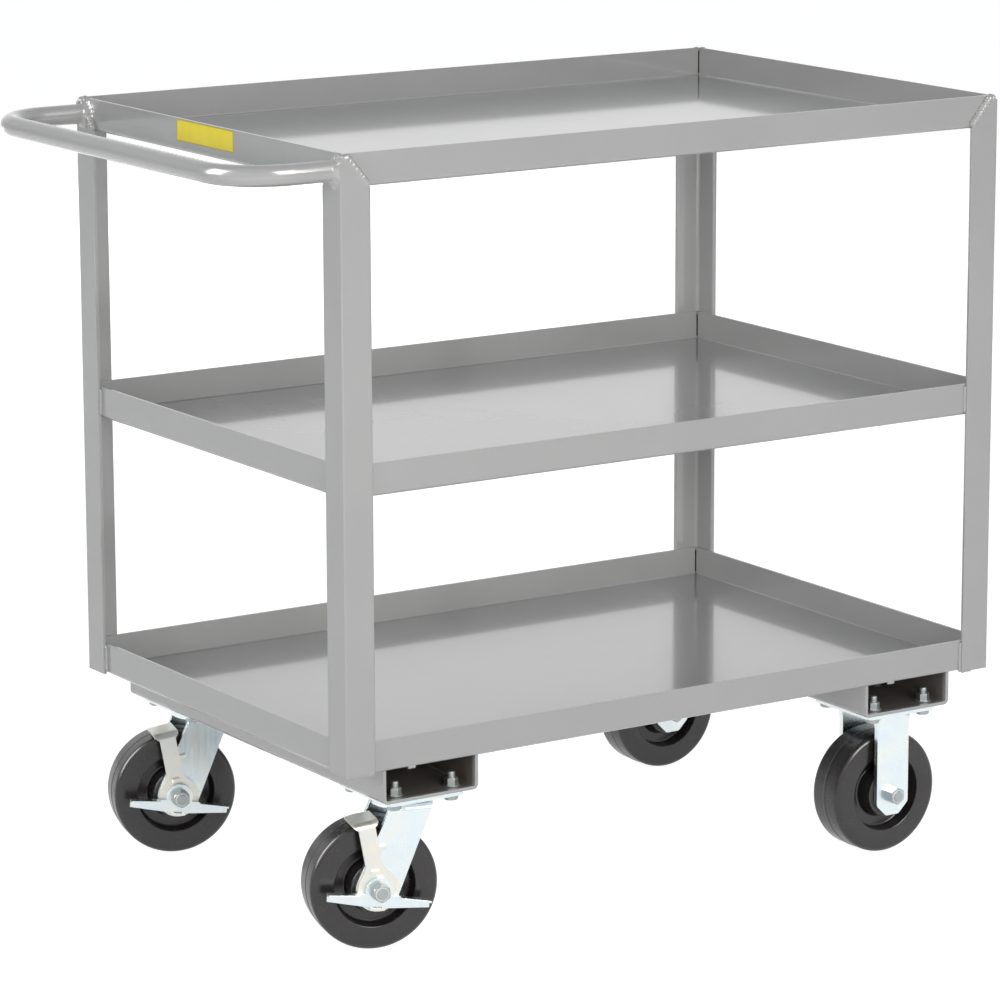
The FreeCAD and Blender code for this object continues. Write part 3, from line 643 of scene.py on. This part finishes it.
def lathed(outline, steps, turn):
    """Spin a closed outline of (radius, height) points about the local Z axis and place it."""
    mesh = bmesh.new()
    ring = [mesh.verts.new((point.x, 0.0, point.y)) for point in outline]
    edges = [mesh.edges.new((ring[index - 1], ring[index])) for index in range(len(ring))]
    bmesh.ops.spin(mesh, geom=ring + edges, axis=(0, 0, 1), steps=steps, angle=2 * pi, use_merge=True)
    bmesh.ops.remove_doubles(mesh, verts=mesh.verts, dist=1e-6)
    made = baked(mesh)
    made.transform(turn)
    made.shade_smooth()
    made.set_sharp_from_angle(angle=radians(32))
    return made


def axle_frame(caster, side):
    """The wheel's middle, the axle's direction to the +Y side, and a matrix that turns Z to it."""
    joint = JOINTS[f"{caster}_wheel_spin_{side}"]
    centre, axis = Vector(joint["pos_m"]), Vector(joint["axis"])
    if axis.y < 0:
        axis = -axis
    return centre, axis, Matrix.Translation(centre) @ axis.to_track_quat("Z", "X").to_matrix().to_4x4()


# ---- operators, each with the functions it calls
class CART_OT_mix_finishes(Operator):
    """Build the shared shader groups and the finishes"""
    bl_idname = "toolcart.mix_finishes"
    bl_label = "Mix finishes"

    def execute(self, context):
        finish = context.scene.cart_finish
        make_grain_group()
        make_patch_group()
        make_streak_group()
        make_edge_group()
        powder_coat(finish, "grey_coat_frame")
        # The legs' heels and toes get a strong painted highlight from the lightened edges
        powder_coat(finish, "grey_coat_legs", finish.heel_rounding, wear_and_highlight=0.8)
        # Channels and bottom shelf: the coat with painted shade inside the channels
        powder_coat(finish, "grey_coat_channels", shaded_hollows=True)
        powder_coat(finish, "grey_coat_welds", peel=0.00005)
        plated(finish, "bright_zinc_plate", finish.zinc_colour, finish.zinc_roughness)
        plated(finish, "dull_zinc_plate", finish.dull_zinc_colour, 0.46)
        plated(finish, "yellow_zinc_plate", finish.chromate_colour, 0.34)
        # A near-black coat: painted shade for the corner slits
        powder_coat(finish, "slit_dark", shade=0.04)
        bearing_steel(finish)
        phenolic(finish)
        nylon(finish)
        return {"FINISHED"}


class CART_OT_coat_frame(Operator):
    """Coat the legs, the shelves and the caster channels"""
    bl_idname = "toolcart.coat_frame"
    bl_label = "Coat frame"

    def execute(self, context):
        assign("grey_coat_legs", LEGS)
        assign("grey_coat_frame", SHELVES[:2])
        assign("grey_coat_channels", CHANNELS + SHELVES[2:])
        # Dark strips as painted shade in the shelves' corner slits
        corner_slits()
        return {"FINISHED"}


def corner_slits():
    """Dark strips that stand as painted shade at the bottoms of the narrow slits where two lips of a
    shelf meet.
    """
    near, far, off_floor, off_rim = 0.0015, 0.0031, 0.005, 0.0045
    points, faces = [], []
    for shelf in SHELVES:
        low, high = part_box(shelf)
        for x, inward_x in ((low.x, 1), (high.x, -1)):
            for y, inward_y in ((low.y, 1), (high.y, -1)):
                first = len(points)
                points += [(x + inward_x * off_x, y + inward_y * off_y, z)
                           for off_x, off_y in ((near, far), (far, near))
                           for z in (low.z + off_floor, high.z - off_rim)]
                faces.append((first, first + 1, first + 3, first + 2))
    settle(new_object("corner_slits", plain_mesh(points, faces)), "slit_dark")


class CART_OT_bend_handle(Operator):
    """Bend the push handle from one length of tube"""
    bl_idname = "toolcart.bend_handle"
    bl_label = "Bend handle"

    def execute(self, context):
        sizes = context.scene.cart_handle
        make_tube_tree()
        bar, root = HANDLE_LOW.x + TUBE_RADIUS, LIP_LOW.x - 0.0002
        line = [(x, y * TUBE_SIDE, TUBE_HEIGHT) for x, y in ((root, -1), (bar, -1), (bar, 1), (root, 1))]
        handle = grow("bent_push_handle", seed_lines([(line, 0.0)]), "bent_tube", "grey_coat_frame",
                      Tube_Radius=TUBE_RADIUS, Bend_Radius=sizes.bend_radius,
                      Bend_Steps=sizes.bend_steps, Tube_Steps=sizes.tube_steps)
        handle.data.set_sharp_from_angle(angle=radians(40))
        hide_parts("push_handle")
        return {"FINISHED"}


class CART_OT_lay_welds(Operator):
    """Lay the weld beads on the leg tops, the shelf seams, the handle's ends and the channels"""
    bl_idname = "toolcart.lay_welds"
    bl_label = "Lay welds"

    def execute(self, context):
        sizes = context.scene.cart_welds
        make_bead_tree()
        make_speck_tree()
        leg_tops(sizes)
        seams(sizes)
        collars(sizes)
        channels(sizes)
        return {"FINISHED"}


def flanges():
    """Every leg flange: its heel, the way it runs from the heel, the way it faces, and its leg."""
    for leg in LEGS:
        low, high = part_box(leg)
        heel_x, inward_x = (low.x, 1) if "handle" in leg else (high.x, -1)
        heel_y, inward_y = (low.y, 1) if "right" in leg else (high.y, -1)
        heel = Vector((heel_x, heel_y, 0.0))
        yield heel, Vector((inward_x, 0, 0)), Vector((0, -inward_y, 0)), leg
        yield heel, Vector((0, inward_y, 0)), Vector((-inward_x, 0, 0)), leg


def leg_top_slope(run):
    """Height of the sloping leg top at a distance from the heel."""
    if run <= LEG_TOP_FLAT:
        return LEG_HIGH.z
    part = (run - LEG_TOP_FLAT) / (LEG_WIDTH - LEG_TOP_FLAT)
    return LEG_HIGH.z + part * (LIP_LOW.z - LEG_HIGH.z)


def bead(name, paths, radius, sizes, seed):
    return grow(name, seed_lines(paths), "weld_bead", "grey_coat_welds", Bead_Radius=radius,
                Ripple_Pitch=sizes.ripple_pitch, Ripple_Depth=sizes.ripple_depth, Seed=seed)


def tuck(piece):
    """Keep the back of a bead within the thickness of the lip it lies on."""
    deepest = 0.0012
    sides = [(axis, way, way * lip[axis])
             for axis in (0, 1) for way, lip in ((-1, LIP_LOW), (1, LIP_HIGH))]
    for vertex in piece.data.vertices:
        depth, axis, way, side = min((side - way * vertex.co[axis], axis, way, side)
                                     for axis, way, side in sides)
        if depth > deepest:
            vertex.co[axis] = way * (side - deepest)


def leg_tops(sizes):
    """Beads that fill the step between each sloping leg top and the lip behind it."""
    paths, specks = [], []
    chance = random.Random(11)
    toe = (LEG_WIDTH - 0.0005, leg_top_slope(LEG_WIDTH) + 0.0012)
    for heel, run, face, leg in flanges():
        smooth = leg == "leg_handle_right"
        out_of_lip, over_slope, ripple = (0.0007, -0.0003, 0.2) if smooth else (0.0018, 0.0006, 1.0)
        plane = heel - face * (LEG_THICKNESS - out_of_lip)
        paths.append(([plane + run * along + up(z + over_slope)
                       for along, z in ((0.0025, LEG_HIGH.z), (LEG_TOP_FLAT, LEG_HIGH.z), toe)], ripple))
        for _ in range(sizes.spatter_count):
            along = chance.uniform(0.014, LEG_WIDTH + 0.004)
            above = chance.uniform(0.008, 0.015)
            z = min(leg_top_slope(min(along, LEG_WIDTH)) + above, LEG_HIGH.z + 0.003)
            specks.append(heel - face * (LEG_THICKNESS + 0.0002) + run * along + up(z))
    tuck(bead("weld_leg_tops", paths, sizes.top_bead, sizes, 2.0))
    grow("weld_spatter_specks", plain_mesh(specks), "weld_spatter", "grey_coat_welds",
         Speck_Radius=sizes.spatter_size, Seed=5)


def seams(sizes):
    """Upright beads where each leg's edge meets the two lower shelves' lips, and under its foot."""
    ripple, off_lip, past_toe, under = 0.45, 0.0006, 0.0004, 0.0006
    paths = []
    for heel, run, face, _ in flanges():
        line = heel - face * (LEG_THICKNESS - off_lip) + run * (LEG_WIDTH + past_toe)
        for shelf in SHELVES[1:]:
            low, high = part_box(shelf)
            paths.append(([line + up(low.z + 0.003), line + up(high.z - 0.0025)], ripple))
        if face.y:
            paths.append(([line + up(FOOT + 0.012), line + up(FOOT + 0.001),
                           line - run * 0.0035 + up(FOOT - under),
                           line - run * 0.018 + up(FOOT - under)], ripple))
    bead("weld_shelf_seams", paths, sizes.seam_bead, sizes, 4.0)


def collars(sizes):
    """Hollow fillets round the handle's ends, stepping back to the lip above the leg top.

    They stop flush with the leg's outer face and the shelf's rim, which hold nothing beyond."""
    around, rows, proud = 96, 7, 0.0006
    for sign, name in ((-1, "weld_collar_right"), (1, "weld_collar_left")):
        chance = random.Random(6 + sign)
        lumps = [(chance.uniform(0, 2 * pi), chance.uniform(0.5, 1.0)) for _ in range(5)]
        points, faces = [], []
        for step in range(around):
            heading = 2 * pi * step / around
            near = sum(size * max(0.0, cos(heading - place)) ** 24 for place, size in lumps)
            ripple = abs(sin(heading * 11 + 0.8 * sin(heading * 3)))
            width = sizes.collar_bead * (0.86 + 0.16 * ripple + 0.45 * near)
            rim = TUBE_RADIUS + width
            over = TUBE_HEIGHT + rim * sin(heading) - leg_top_slope(
                SIDE_FACE - TUBE_SIDE - rim * cos(heading))
            back = LEG_THICKNESS * min(1.0, max(0.0, over / 0.004 + 0.3))
            for row in range(rows):
                turn = pi / 2 * row / (rows - 1)
                out = TUBE_RADIUS - 0.0003 + width * (1.0 - sin(turn))
                off = (width + back) * (1.0 - cos(turn))
                across = min(TUBE_SIDE + out * cos(heading), SIDE_FACE + proud)
                points.append((HANDLE_FACE + back + 0.0004 - off, sign * across,
                               min(TUBE_HEIGHT + out * sin(heading), LIP_HIGH.z + proud)))
                if row:
                    here, there = step * rows + row, (step + 1) % around * rows + row
                    faces.append((here - 1, here, there, there - 1))
        mesh = plain_mesh(points, faces if sign < 0 else [face[::-1] for face in faces])
        mesh.shade_smooth()
        settle(new_object(name, mesh), "grey_coat_welds")


def channels(sizes):
    """Stitches along the channels' top edges, and a tack at each open end."""
    margin, tack_half, inside_end, off_wall = 0.01, 0.005, 0.001, 0.0004
    paths = []
    for channel in CHANNELS:
        low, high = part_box(channel)
        usable = high.y - low.y - sizes.stitch_length - 2 * margin
        for edge in (low.x - off_wall, high.x + off_wall):
            for step in range(sizes.stitch_count):
                start = low.y + margin + usable * step / max(1, sizes.stitch_count - 1)
                paths.append(([(edge, y, FOOT - off_wall)
                               for y in (start, start + sizes.stitch_length)], 0.8))
        tack = low.x + 0.3 * (high.x - low.x)
        for end in (low.y + inside_end, high.y - inside_end):
            paths.append(([(x, end, FOOT - off_wall / 2)
                           for x in (tack - tack_half, tack + tack_half)], 0.6))
    bead("weld_channel_stitches", paths, sizes.channel_bead, sizes, 8.0)


class CART_OT_mould_wheels(Operator):
    """Mould the four wheels and set them on their rollers"""
    bl_idname = "toolcart.mould_wheels"
    bl_label = "Mould wheels"

    def execute(self, context):
        sizes = context.scene.cart_wheels
        for caster, side in CASTERS:
            node = f"{caster}_wheel_{side}"
            centre, axis, turn = axle_frame(caster, side)
            low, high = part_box(node)
            section = wheel_section(sizes, (high.z - low.z) / 2, reach(node, centre, axis))
            wheel = new_object(f"moulded_{node}", lathed(section, sizes.turn_steps, turn))
            settle(wheel, "phenolic_resin", f"{caster}_roller_{side}")
            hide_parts(node)
        return {"FINISHED"}


def wheel_section(sizes, radius, hub_half):
    """Half of the section from the bore to the mould line, with its mirror image."""
    draft = 0.0016
    tread = radius - sizes.mould_line
    half = [
        (sizes.bore_radius, hub_half, 0.0005),
        (sizes.hub_radius - 0.0004, hub_half, 0.0020),
        (sizes.hub_radius + draft, sizes.web_half, 0.0030),
        (sizes.rim_inner - draft, sizes.web_half, 0.0030),
        (sizes.rim_inner, sizes.face_half, 0.0015),
        (tread, sizes.face_half, sizes.shoulder),
        (tread, 0.0028, 0.0010),
        (radius, 0.0014, 0.0006),
    ]
    return rounded_outline(half + [(x, -y, corner) for x, y, corner in reversed(half)], 8)


class CART_OT_plate_casters(Operator):
    """Plate the forks, plates, bolts and nuts, and the brakes"""
    bl_idname = "toolcart.plate_casters"
    bl_label = "Plate casters"

    def execute(self, context):
        both = {"bright_zinc_plate": ("plate", "fork"), "ground_steel": ("bearing", "bushing"),
                "dull_zinc_plate": ("bolts", "nuts", "axle_bolt", "axle_nut")}
        swivel = {"bright_zinc_plate": ("brake_lever", "kingpin"), "ground_steel": ("balls",),
                  "dull_zinc_plate": ("kingpin_nut",), "yellow_zinc_plate": ("brake_strap",)}
        for caster, side in CASTERS:
            for table in (both, swivel) if caster == "swivel" else (both,):
                for finish, pieces in table.items():
                    assign(finish, [f"{caster}_{piece}_{side}" for piece in pieces])
        return {"FINISHED"}


class CART_OT_cut_threads(Operator):
    """Cut the threads that stand past the nuts, and press the nylon rings into the axle nuts"""
    bl_idname = "toolcart.cut_threads"
    bl_label = "Cut threads"

    def execute(self, context):
        sizes = context.scene.cart_wheels
        make_thread_tree()
        mounting_threads(sizes)
        for caster, side in CASTERS:
            axle_thread(sizes, caster, side, f"swivel_yoke_{side}" if caster == "swivel" else "cart")
        return {"FINISHED"}


def thread(name, starts, axis, radius, pitch, rise, sizes, body):
    """A thread that winds up a bolt from every start, just sunk into its surface."""
    sunk = 0.0001
    seeds = plain_mesh(starts)
    seeds.attributes.new("axis", "FLOAT_VECTOR", "POINT").data.foreach_set(
        "vector", list(axis) * len(starts))
    made = grow(name, seeds, "screw_thread", "dull_zinc_plate", body, "bright_zinc",
                Bolt_Radius=radius - sunk, Pitch=pitch, Turns=rise / pitch, Ridge=sizes.thread_depth)
    made.data.set_sharp_from_angle(angle=radians(40))


def mounting_threads(sizes):
    """Threads of the sixteen bolts that stand up inside the channels."""
    starts = []
    hex_half, hex_reach, bolt_radius = 0.00715, 0.008256, 0.00475
    for caster, side in CASTERS:
        low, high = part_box(f"{caster}_bolts_{side}")
        nut_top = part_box(f"{caster}_nuts_{side}")[1].z
        starts += [(x, y, nut_top + sizes.thread_depth)
                   for x in (low.x + hex_half, high.x - hex_half)
                   for y in (low.y + hex_reach, high.y - hex_reach)]
    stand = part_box("rigid_bolts_right")[1].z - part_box("rigid_nuts_right")[1].z
    thread("mounting_bolt_threads", starts, (0, 0, 1), bolt_radius, sizes.thread_pitch,
           stand - 2.5 * sizes.thread_depth, sizes, "cart")


def axle_thread(sizes, caster, side, body):
    """The last turns of the axle bolt, and the nylon ring round them."""
    radius, overlap = 0.00635, 0.0005
    centre, axis, turn = axle_frame(caster, side)
    nut_end = reach(f"{caster}_axle_nut_{side}", centre, -axis)
    tip = reach(f"{caster}_axle_bolt_{side}", centre, -axis)
    thread(f"{caster}_axle_thread_{side}", [centre - axis * (nut_end - overlap)], -axis, radius,
           sizes.axle_pitch, tip - nut_end - sizes.thread_depth, sizes, body)
    inner, outer, rise, sunk = radius + 0.0002, 0.0084, 0.0013, 0.0004
    base, top = sunk - nut_end, -rise - nut_end
    outline = rounded_outline([(inner, base, 0.0), (outer, base, 0.0), (outer - 0.0003, top, 0.0007),
                               (inner, top, 0.0004)])
    ring = new_object(f"{caster}_nut_ring_{side}", lathed(outline, 48, turn))
    settle(ring, "nylon_ring", body)


class CART_OT_stick_label(Operator):
    """Stick the blank label on the top lip at the handle end"""
    bl_idname = "toolcart.stick_label"
    bl_label = "Stick label"

    def execute(self, context):
        half_y, half_z, thickness, corner = 0.0653, 0.0125, 0.00022, 0.0012
        centre = Vector((LIP_LOW.x, 0.0013, 0.9164))
        outline = rounded_outline([(y * half_y, z * half_z, corner) for y, z in SQUARE])
        mesh = bmesh.new()
        face = mesh.faces.new([mesh.verts.new(centre + Vector((0.0, y, z))) for y, z in outline])
        pushed = bmesh.ops.extrude_face_region(mesh, geom=[face])
        front = [item for item in pushed["geom"] if isinstance(item, bmesh.types.BMVert)]
        bmesh.ops.translate(mesh, verts=front, vec=(-thickness, 0.0, 0.0))
        label_vinyl(context.scene.cart_finish, centre, half_y, half_z)
        settle(new_object("blank_label", baked(mesh)), "label_vinyl")
        return {"FINISHED"}


class CART_OT_set_stage(Operator):
    """Set the floor, the room light, the lamps and the camera"""
    bl_idname = "toolcart.set_stage"
    bl_label = "Set stage"

    def execute(self, context):
        stage = context.scene.cart_stage
        set_floor()
        set_room(context.scene, stage)
        set_lamps(stage)
        set_camera(context.scene, stage)
        context.scene.view_settings.view_transform = "Standard"
        return {"FINISHED"}


def ray_kinds(tree):
    """Whether a ray comes from the camera, and whether it is mirrored or refracted."""
    path = tree.node("LightPath").outputs
    return path["Is Camera Ray"], tree.math("MAXIMUM", path["Is Glossy Ray"], path["Is Transmission Ray"])


def set_floor():
    """A pale floor that keeps a faint shadow under a white that matches the room."""
    half = 30.0
    seen_grey, seen_glow, lit_grey, mirrored_glow = 0.35, 0.925, 0.86, 0.62
    mesh = plain_mesh([(x * half, y * half, 0) for x, y in SQUARE], [(0, 1, 2, 3)])
    floor = new_object("studio_floor", mesh)
    material = bpy.data.materials.new("pale_floor")
    tree = Tree(cleared(material))

    def matte(grey):
        return tree.run("BsdfDiffuse", {"Color": (grey, grey, grey, 1.0)})

    def glowing(surface, strength):
        glow = tree.run("Emission", {"Color": (1.0, 1.0, 1.0, 1.0), "Strength": strength})
        return tree.run("AddShader", {0: surface, 1: glow})

    seen, mirrored = ray_kinds(tree)
    lit = matte(lit_grey)
    surface = tree.run("MixShader", {0: mirrored, 1: lit, 2: glowing(lit, mirrored_glow)})
    surface = tree.run("MixShader", {0: seen, 1: surface, 2: glowing(matte(seen_grey), seen_glow)})
    tree.show("Material", surface)
    mesh.materials.append(material)


def set_room(scene, stage):
    """White to the camera, a white wall with a dim room round it to mirror rays, soft as a light."""
    wall_towards, wall_fades, wall_full = (0.53, 0.81, 0.24), 0.78, 0.93
    dim, ceiling_from = 0.68, 0.30
    scene.world = bpy.data.worlds.new("studio_room")
    tree = Tree(cleared(scene.world))
    seen, mirrored = ray_kinds(tree)
    towards = tree.node("TexCoord").outputs["Generated"]
    wall = tree.vector("DOT_PRODUCT", towards, wall_towards, output="Value")
    wall = tree.remap(wall, wall_fades, wall_full, way="SMOOTHSTEP")
    above = tree.remap(tree.split(towards)["Z"], 0.0, ceiling_from, dim, 1.0, way="SMOOTHSTEP")
    white = tree.math("MAXIMUM", wall, above)
    strength = tree.math("MULTIPLY_ADD", tree.math("SUBTRACT", white, stage.room_light), mirrored,
                         stage.room_light)
    strength = tree.math("MAXIMUM", strength, seen)
    tint = tree.blend(tree.math("MAXIMUM", seen, mirrored), (0.93, 0.97, 1.05), (1.0, 1.0, 1.0))
    tree.show("World", tree.run("Background", {"Color": tint, "Strength": strength}))


def set_lamps(stage):
    """Sheen lamps show only in reflections, and washes only as light."""
    target = Vector((0.0, 0.0, 0.5))
    for name, place, size, energy in (
            ("key_sheen", (-4.05, 1.05, 2.83), (2.4, 3.4), stage.key_power),
            ("fill_sheen", (0.54, -3.50, 3.05), (2.2, 2.4), stage.fill_power),
            ("front_wash", (-1.1, -5.5, 1.45), (3.4, 2.4), stage.front_power),
            ("left_wash", (-5.4, -1.2, 1.7), (2.0, 1.4), stage.end_power),
            ("right_wash", (5.4, 1.2, 1.2), (2.0, 1.4), stage.end_power),
            ("rear_wash", (1.1, 5.5, 1.2), (3.4, 1.6), stage.rear_power)):
        light = bpy.data.lights.new(name, "AREA")
        light.energy = energy
        light.color = (1.0, 0.985, 0.95)
        light.shape = "RECTANGLE"
        light.size, light.size_y = size
        lamp = new_object(name, light)
        lamp.location = place
        lamp.visible_diffuse = "wash" in name
        lamp.visible_glossy = "sheen" in name
        lamp.rotation_euler = (target - Vector(place)).to_track_quat("-Z", "Y").to_euler()


def set_camera(scene, stage):
    lens = bpy.data.cameras.new("camera")
    lens.lens = stage.camera_lens
    lens.clip_start, lens.clip_end = 0.1, 200.0
    camera = new_object("camera", lens)
    camera.matrix_world = (Matrix.Translation(stage.camera_place)
                           @ Matrix.Rotation(-stage.camera_azimuth, 4, "Z")
                           @ Matrix.Rotation(pi / 2 - stage.camera_dip, 4, "X")
                           @ Matrix.Rotation(stage.camera_roll, 4, "Z"))
    scene.camera = camera


# ---- add-on
SETTINGS = {"cart_finish": CartFinish, "cart_welds": CartWelds, "cart_handle": CartHandle,
            "cart_wheels": CartWheels, "cart_stage": CartStage}
OPERATORS = (CART_OT_mix_finishes, CART_OT_coat_frame, CART_OT_bend_handle, CART_OT_lay_welds,
             CART_OT_mould_wheels, CART_OT_plate_casters, CART_OT_cut_threads, CART_OT_stick_label,
             CART_OT_set_stage)


class CART_PT_sidebar(Panel):
    """Settings and steps of the tool cart"""
    bl_label = "Tool cart"
    bl_space_type = "VIEW_3D"
    bl_region_type = "UI"
    bl_category = "Tool cart"

    def draw(self, context):
        for name, group in SETTINGS.items():
            box = self.layout.box()
            box.label(text=group.__doc__)
            for prop in group.__annotations__:
                box.prop(getattr(context.scene, name), prop)
        for operator in OPERATORS:
            self.layout.operator(operator.bl_idname)


CLASSES = (*SETTINGS.values(), *OPERATORS, CART_PT_sidebar)


def register():
    for made in CLASSES:
        bpy.utils.register_class(made)
    for name, group in SETTINGS.items():
        setattr(bpy.types.Scene, name, PointerProperty(type=group))


def unregister():
    for name in SETTINGS:
        delattr(bpy.types.Scene, name)
    for made in reversed(CLASSES):
        bpy.utils.unregister_class(made)


def main():
    register()
    for operator in OPERATORS:
        getattr(bpy.ops.toolcart, operator.bl_idname.split(".")[1])()
    bpy.context.view_layer.update()


if __name__ == "__main__":
    main()
